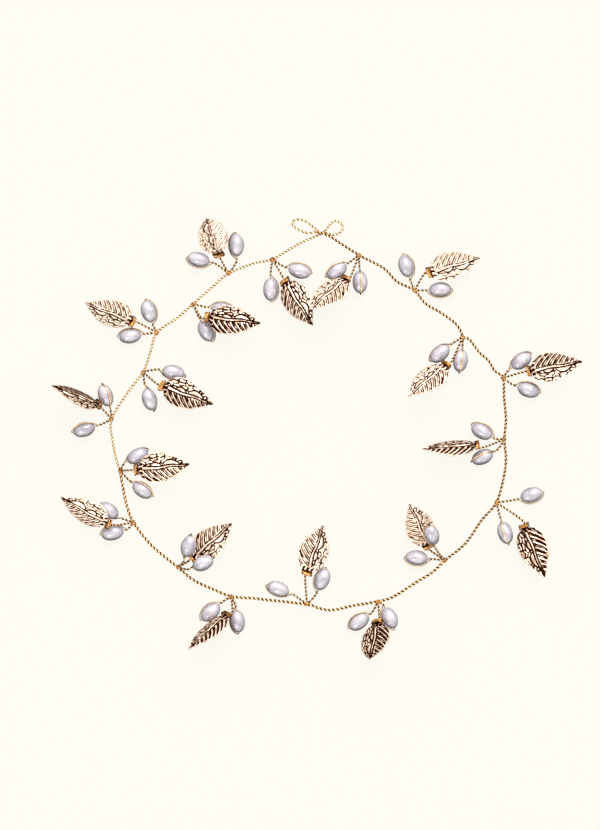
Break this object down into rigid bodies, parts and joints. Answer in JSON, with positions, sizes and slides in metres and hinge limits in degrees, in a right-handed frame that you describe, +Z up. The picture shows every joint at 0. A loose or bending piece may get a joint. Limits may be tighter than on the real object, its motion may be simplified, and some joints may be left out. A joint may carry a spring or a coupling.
{
  "type": "bridal hair vine tiara",
  "caption": "Ring-shaped bridal hair vine worn as a tiara: twisted gold wire with stamped leaves bound on by wire, oval pearls threaded on wire loops, and an eyelet at each end.",
  "frame": {"origin": "on the surface the vine lies on, under the centre of its outer box", "axes": "+Z up, out of the ring towards the side that shows; +X to the right and +Y to the back, where the two ends cross"},
  "size_m": [0.2116, 0.1792, 0.0212],
  "materials": {
    "gold_wire": "bright light-gold plated craft wire, two strands twisted together",
    "rose_gold": "bright rose-gold plated stamped sheet, veined",
    "pearl": "glossy pearl lacquer, silvery white"
  },
  "bodies": {
    "vine_middle": {"vine_middle": "gold_wire"},
    "vine_left": {"vine_left": "gold_wire"},
    "vine_right": {"vine_right": "gold_wire"},
    "leaf_01": {"leaf_01": "rose_gold"},
    "leaf_02": {"leaf_02": "rose_gold"},
    "leaf_03": {"leaf_03": "rose_gold"},
    "leaf_04": {"leaf_04": "rose_gold"},
    "leaf_05": {"leaf_05": "rose_gold"},
    "leaf_06": {"leaf_06": "rose_gold"},
    "leaf_07": {"leaf_07": "rose_gold"},
    "leaf_08": {"leaf_08": "rose_gold"},
    "leaf_09": {"leaf_09": "rose_gold"},
    "leaf_10": {"leaf_10": "rose_gold"},
    "leaf_11": {"leaf_11": "rose_gold"},
    "leaf_12": {"leaf_12": "rose_gold"},
    "leaf_13": {"leaf_13": "rose_gold"},
    "leaf_14": {"leaf_14": "rose_gold"},
    "leaf_15": {"leaf_15": "rose_gold"},
    "leaf_16": {"leaf_16": "rose_gold"},
    "leaf_17": {"leaf_17": "rose_gold"},
    "leaf_18": {"leaf_18": "rose_gold"},
    "leaf_19": {"leaf_19": "rose_gold"},
    "pearl_01a": {"pearl_01a": "pearl"},
    "pearl_01b": {"pearl_01b": "pearl"},
    "pearl_02a": {"pearl_02a": "pearl"},
    "pearl_02b": {"pearl_02b": "pearl"},
    "pearl_03a": {"pearl_03a": "pearl"},
    "pearl_03b": {"pearl_03b": "pearl"},
    "pearl_04a": {"pearl_04a": "pearl"},
    "pearl_04b": {"pearl_04b": "pearl"},
    "pearl_05a": {"pearl_05a": "pearl"},
    "pearl_05b": {"pearl_05b": "pearl"},
    "pearl_06a": {"pearl_06a": "pearl"},
    "pearl_06b": {"pearl_06b": "pearl"},
    "pearl_07a": {"pearl_07a": "pearl"},
    "pearl_07b": {"pearl_07b": "pearl"},
    "pearl_08a": {"pearl_08a": "pearl"},
    "pearl_08b": {"pearl_08b": "pearl"},
    "pearl_09a": {"pearl_09a": "pearl"},
    "pearl_09b": {"pearl_09b": "pearl"},
    "pearl_10a": {"pearl_10a": "pearl"},
    "pearl_10b": {"pearl_10b": "pearl"},
    "pearl_11a": {"pearl_11a": "pearl"},
    "pearl_11b": {"pearl_11b": "pearl"},
    "pearl_12a": {"pearl_12a": "pearl"},
    "pearl_12b": {"pearl_12b": "pearl"},
    "pearl_13a": {"pearl_13a": "pearl"},
    "pearl_13b": {"pearl_13b": "pearl"},
    "pearl_14a": {"pearl_14a": "pearl"},
    "pearl_14b": {"pearl_14b": "pearl"},
    "pearl_15a": {"pearl_15a": "pearl"},
    "pearl_15b": {"pearl_15b": "pearl"},
    "pearl_16a": {"pearl_16a": "pearl"},
    "pearl_16b": {"pearl_16b": "pearl"},
    "pearl_17a": {"pearl_17a": "pearl"},
    "pearl_17b": {"pearl_17b": "pearl"},
    "pearl_18a": {"pearl_18a": "pearl"},
    "pearl_18b": {"pearl_18b": "pearl"},
    "pearl_19a": {"pearl_19a": "pearl"},
    "pearl_19b": {"pearl_19b": "pearl"}
  },
  "joints": [
    {"name": "arm_left_open", "type": "hinge", "parent": "vine_middle", "child": "vine_left", "pos_m": [-0.0788, -0.0127, 0.0029], "axis": [0, 0, 1], "range_deg": [0, 75]},
    {"name": "arm_right_open", "type": "hinge", "parent": "vine_middle", "child": "vine_right", "pos_m": [0.0512, -0.0487, 0.0029], "axis": [0, 0, -1], "range_deg": [0, 75]},
    {"name": "leaf_01_tilt", "type": "hinge", "parent": "vine_left", "child": "leaf_01", "pos_m": [-0.0394, 0.0739, 0.0059], "axis": [0.9511, 0.309, 0], "range_deg": [-20, 15]},
    {"name": "leaf_02_tilt", "type": "hinge", "parent": "vine_left", "child": "leaf_02", "pos_m": [-0.0128, 0.0627, 0.0067], "axis": [-0.7722, -0.5869, -0.2432], "range_deg": [-20, 15]},
    {"name": "leaf_03_tilt", "type": "hinge", "parent": "vine_left", "child": "leaf_03", "pos_m": [-0.0438, 0.0485, 0.0075], "axis": [-0.1545, -0.955, 0.2532], "range_deg": [-5, 15]},
    {"name": "leaf_04_tilt", "type": "hinge", "parent": "vine_left", "child": "leaf_04", "pos_m": [-0.074, 0.0469, 0.0063], "axis": [0.4938, 0.789, 0.3656], "range_deg": [-20, 15]},
    {"name": "leaf_05_tilt", "type": "hinge", "parent": "vine_left", "child": "leaf_05", "pos_m": [-0.0618, 0.0211, 0.0073], "axis": [-0.3265, -0.9413, -0.0858], "range_deg": [-20, 15]},
    {"name": "leaf_06_tilt", "type": "hinge", "parent": "vine_left", "child": "leaf_06", "pos_m": [-0.0876, 0.0139, 0.0067], "axis": [-0.1981, 0.5941, -0.7796], "range_deg": [-20, 15]},
    {"name": "leaf_07_tilt", "type": "hinge", "parent": "vine_middle", "child": "leaf_07", "pos_m": [-0.072, -0.0123, 0.0073], "axis": [0.1045, -0.9945, 0], "range_deg": [-20, 15]},
    {"name": "leaf_08_tilt", "type": "hinge", "parent": "vine_middle", "child": "leaf_08", "pos_m": [-0.0836, -0.0339, 0.0073], "axis": [0.5075, 0.6883, 0.5183], "range_deg": [-20, 15]},
    {"name": "leaf_09_tilt", "type": "hinge", "parent": "vine_middle", "child": "leaf_09", "pos_m": [-0.0498, -0.0475, 0.0027], "axis": [0.6561, -0.7547, 0], "range_deg": [-20, 7]},
    {"name": "leaf_10_tilt", "type": "hinge", "parent": "vine_middle", "child": "leaf_10", "pos_m": [-0.0364, -0.0703, 0.0073], "axis": [-0.5939, 0.1463, -0.7912], "range_deg": [-20, 15]},
    {"name": "leaf_11_tilt", "type": "hinge", "parent": "vine_middle", "child": "leaf_11", "pos_m": [-0.004, -0.0533, 0.0055], "axis": [0.9544, -0.2882, -0.0783], "range_deg": [-20, 15]},
    {"name": "leaf_12_tilt", "type": "hinge", "parent": "vine_middle", "child": "leaf_12", "pos_m": [0.0241, -0.0734, 0.0065], "axis": [-0.9152, -0.1695, -0.3657], "range_deg": [-20, 15]},
    {"name": "leaf_13_tilt", "type": "hinge", "parent": "vine_middle", "child": "leaf_13", "pos_m": [0.0443, -0.0427, 0.0032], "axis": [0.873, 0.4739, -0.1154], "range_deg": [-20, 3]},
    {"name": "leaf_14_tilt", "type": "hinge", "parent": "vine_right", "child": "leaf_14", "pos_m": [0.0828, -0.0351, 0.0055], "axis": [-0.9063, -0.3857, -0.1727], "range_deg": [-15, 15]},
    {"name": "leaf_15_tilt", "type": "hinge", "parent": "vine_right", "child": "leaf_15", "pos_m": [0.0638, -0.0025, 0.0069], "axis": [-0.1166, 0.4946, -0.8613], "range_deg": [-20, 15]},
    {"name": "leaf_16_tilt", "type": "hinge", "parent": "vine_right", "child": "leaf_16", "pos_m": [0.0848, 0.0271, 0.0071], "axis": [0.1736, -0.9848, 0], "range_deg": [-20, 12]},
    {"name": "leaf_17_tilt", "type": "hinge", "parent": "vine_right", "child": "leaf_17", "pos_m": [0.0514, 0.0295, 0.0077], "axis": [-0.7236, 0.4551, -0.519], "range_deg": [-20, 15]},
    {"name": "leaf_18_tilt", "type": "hinge", "parent": "vine_right", "child": "leaf_18", "pos_m": [0.0452, 0.0665, 0.0059], "axis": [0.3231, -0.9375, -0.129], "range_deg": [-20, 15]},
    {"name": "leaf_19_tilt", "type": "hinge", "parent": "vine_right", "child": "leaf_19", "pos_m": [0.0114, 0.0638, 0.0075], "axis": [-0.7586, 0.4195, -0.4985], "range_deg": [-5, 15]},
    {"name": "pearl_01a_spin", "type": "hinge", "parent": "vine_left", "child": "pearl_01a", "pos_m": [-0.0322, 0.0775, 0.0029], "axis": [-0.0349, 0.9994, 0], "continuous": true},
    {"name": "pearl_01b_spin", "type": "hinge", "parent": "vine_left", "child": "pearl_01b", "pos_m": [-0.0474, 0.0717, 0.0029], "axis": [-0.9781, 0.2079, 0], "continuous": true},
    {"name": "pearl_02a_spin", "type": "hinge", "parent": "vine_left", "child": "pearl_02a", "pos_m": [-0.007, 0.0671, 0.0029], "axis": [0.9659, -0.2588, 0], "continuous": true},
    {"name": "pearl_02b_spin", "type": "hinge", "parent": "vine_left", "child": "pearl_02b", "pos_m": [-0.0186, 0.0597, 0.0029], "axis": [0, -1, 0], "continuous": true},
    {"name": "pearl_03a_spin", "type": "hinge", "parent": "vine_left", "child": "pearl_03a", "pos_m": [-0.0378, 0.0515, 0.0029], "axis": [0.9848, -0.1736, 0], "continuous": true},
    {"name": "pearl_03b_spin", "type": "hinge", "parent": "vine_left", "child": "pearl_03b", "pos_m": [-0.0444, 0.0431, 0.0029], "axis": [0.4695, -0.8829, 0], "continuous": true},
    {"name": "pearl_04a_spin", "type": "hinge", "parent": "vine_left", "child": "pearl_04a", "pos_m": [-0.0674, 0.0509, 0.0029], "axis": [-0.309, 0.9511, 0], "continuous": true},
    {"name": "pearl_04b_spin", "type": "hinge", "parent": "vine_left", "child": "pearl_04b", "pos_m": [-0.0748, 0.0411, 0.0029], "axis": [-0.9903, -0.1392, 0], "continuous": true},
    {"name": "pearl_05a_spin", "type": "hinge", "parent": "vine_left", "child": "pearl_05a", "pos_m": [-0.0574, 0.0265, 0.0029], "axis": [0.9781, -0.2079, 0], "continuous": true},
    {"name": "pearl_05b_spin", "type": "hinge", "parent": "vine_left", "child": "pearl_05b", "pos_m": [-0.067, 0.0157, 0.0029], "axis": [0.309, -0.9511, 0], "continuous": true},
    {"name": "pearl_06a_spin", "type": "hinge", "parent": "vine_left", "child": "pearl_06a", "pos_m": [-0.0846, 0.0173, 0.0029], "axis": [-0.3256, 0.9455, 0], "continuous": true},
    {"name": "pearl_06b_spin", "type": "hinge", "parent": "vine_left", "child": "pearl_06b", "pos_m": [-0.0932, 0.0037, 0.0029], "axis": [-0.9613, -0.2756, 0], "continuous": true},
    {"name": "pearl_07a_spin", "type": "hinge", "parent": "vine_middle", "child": "pearl_07a", "pos_m": [-0.0718, -0.0069, 0.0029], "axis": [0.8829, 0.4695, 0], "continuous": true},
    {"name": "pearl_07b_spin", "type": "hinge", "parent": "vine_middle", "child": "pearl_07b", "pos_m": [-0.0698, -0.0205, 0.0029], "axis": [0.8192, -0.5736, 0], "continuous": true},
    {"name": "pearl_08a_spin", "type": "hinge", "parent": "vine_middle", "child": "pearl_08a", "pos_m": [-0.0836, -0.0287, 0.0029], "axis": [-0.866, 0.5, 0], "continuous": true},
    {"name": "pearl_08b_spin", "type": "hinge", "parent": "vine_middle", "child": "pearl_08b", "pos_m": [-0.0818, -0.0377, 0.0029], "axis": [-0.9744, -0.225, 0], "continuous": true},
    {"name": "pearl_09a_spin", "type": "hinge", "parent": "vine_middle", "child": "pearl_09a", "pos_m": [-0.0514, -0.043, 0.0075], "axis": [0.2837, 0.9279, 0.2419], "continuous": true},
    {"name": "pearl_09b_spin", "type": "hinge", "parent": "vine_middle", "child": "pearl_09b", "pos_m": [-0.0456, -0.0497, 0.0075], "axis": [0.8794, 0.4101, 0.2419], "continuous": true},
    {"name": "pearl_10a_spin", "type": "hinge", "parent": "vine_middle", "child": "pearl_10a", "pos_m": [-0.0426, -0.0695, 0.0029], "axis": [-0.7431, -0.6691, 0], "continuous": true},
    {"name": "pearl_10b_spin", "type": "hinge", "parent": "vine_middle", "child": "pearl_10b", "pos_m": [-0.0318, -0.0731, 0.0029], "axis": [0.1045, -0.9945, 0], "continuous": true},
    {"name": "pearl_11a_spin", "type": "hinge", "parent": "vine_middle", "child": "pearl_11a", "pos_m": [-0.0156, -0.0601, 0.0029], "axis": [-0.9397, 0.342, 0], "continuous": true},
    {"name": "pearl_11b_spin", "type": "hinge", "parent": "vine_middle", "child": "pearl_11b", "pos_m": [0.0021, -0.0563, 0.0029], "axis": [0.3746, 0.9272, 0], "continuous": true},
    {"name": "pearl_12a_spin", "type": "hinge", "parent": "vine_middle", "child": "pearl_12a", "pos_m": [0.0168, -0.0733, 0.0029], "axis": [-0.8192, -0.5736, 0], "continuous": true},
    {"name": "pearl_12b_spin", "type": "hinge", "parent": "vine_middle", "child": "pearl_12b", "pos_m": [0.0291, -0.0717, 0.0029], "axis": [0.4384, -0.8988, 0], "continuous": true},
    {"name": "pearl_13a_spin", "type": "hinge", "parent": "vine_middle", "child": "pearl_13a", "pos_m": [0.0458, -0.0385, 0.0102], "axis": [-0.2195, 0.8192, 0.5299], "continuous": true},
    {"name": "pearl_13b_spin", "type": "hinge", "parent": "vine_middle", "child": "pearl_13b", "pos_m": [0.0399, -0.0476, 0.0029], "axis": [-0.9962, 0.0872, 0], "continuous": true},
    {"name": "pearl_14a_spin", "type": "hinge", "parent": "vine_right", "child": "pearl_14a", "pos_m": [0.0858, -0.0225, 0.0029], "axis": [0.9563, 0.2924, 0], "continuous": true},
    {"name": "pearl_14b_spin", "type": "hinge", "parent": "vine_right", "child": "pearl_14b", "pos_m": [0.0753, -0.0377, 0.0029], "axis": [0.309, -0.9511, 0], "continuous": true},
    {"name": "pearl_15a_spin", "type": "hinge", "parent": "vine_right", "child": "pearl_15a", "pos_m": [0.0659, 0.0029, 0.0029], "axis": [-0.8746, 0.4848, 0], "continuous": true},
    {"name": "pearl_15b_spin", "type": "hinge", "parent": "vine_right", "child": "pearl_15b", "pos_m": [0.0662, -0.0073, 0.0029], "axis": [-0.9135, -0.4067, 0], "continuous": true},
    {"name": "pearl_16a_spin", "type": "hinge", "parent": "vine_right", "child": "pearl_16a", "pos_m": [0.0818, 0.0311, 0.0029], "axis": [0.8192, 0.5736, 0], "continuous": true},
    {"name": "pearl_16b_spin", "type": "hinge", "parent": "vine_right", "child": "pearl_16b", "pos_m": [0.0846, 0.0195, 0.0029], "axis": [0.9511, -0.309, 0], "continuous": true},
    {"name": "pearl_17a_spin", "type": "hinge", "parent": "vine_right", "child": "pearl_17a", "pos_m": [0.0492, 0.034, 0.0029], "axis": [-0.766, -0.6428, 0], "continuous": true},
    {"name": "pearl_17b_spin", "type": "hinge", "parent": "vine_right", "child": "pearl_17b", "pos_m": [0.0574, 0.0312, 0.0029], "axis": [-0.1392, -0.9903, 0], "continuous": true},
    {"name": "pearl_18a_spin", "type": "hinge", "parent": "vine_right", "child": "pearl_18a", "pos_m": [0.0356, 0.0691, 0.0029], "axis": [-0.2924, 0.9563, 0], "continuous": true},
    {"name": "pearl_18b_spin", "type": "hinge", "parent": "vine_right", "child": "pearl_18b", "pos_m": [0.0493, 0.0597, 0.0029], "axis": [0.9986, 0.0523, 0], "continuous": true},
    {"name": "pearl_19a_spin", "type": "hinge", "parent": "vine_right", "child": "pearl_19a", "pos_m": [0.0078, 0.0672, 0.0029], "axis": [-0.8387, -0.5446, 0], "continuous": true},
    {"name": "pearl_19b_spin", "type": "hinge", "parent": "vine_right", "child": "pearl_19b", "pos_m": [0.0172, 0.0627, 0.0029], "axis": [0.0349, -0.9994, 0], "continuous": true}
  ]
}
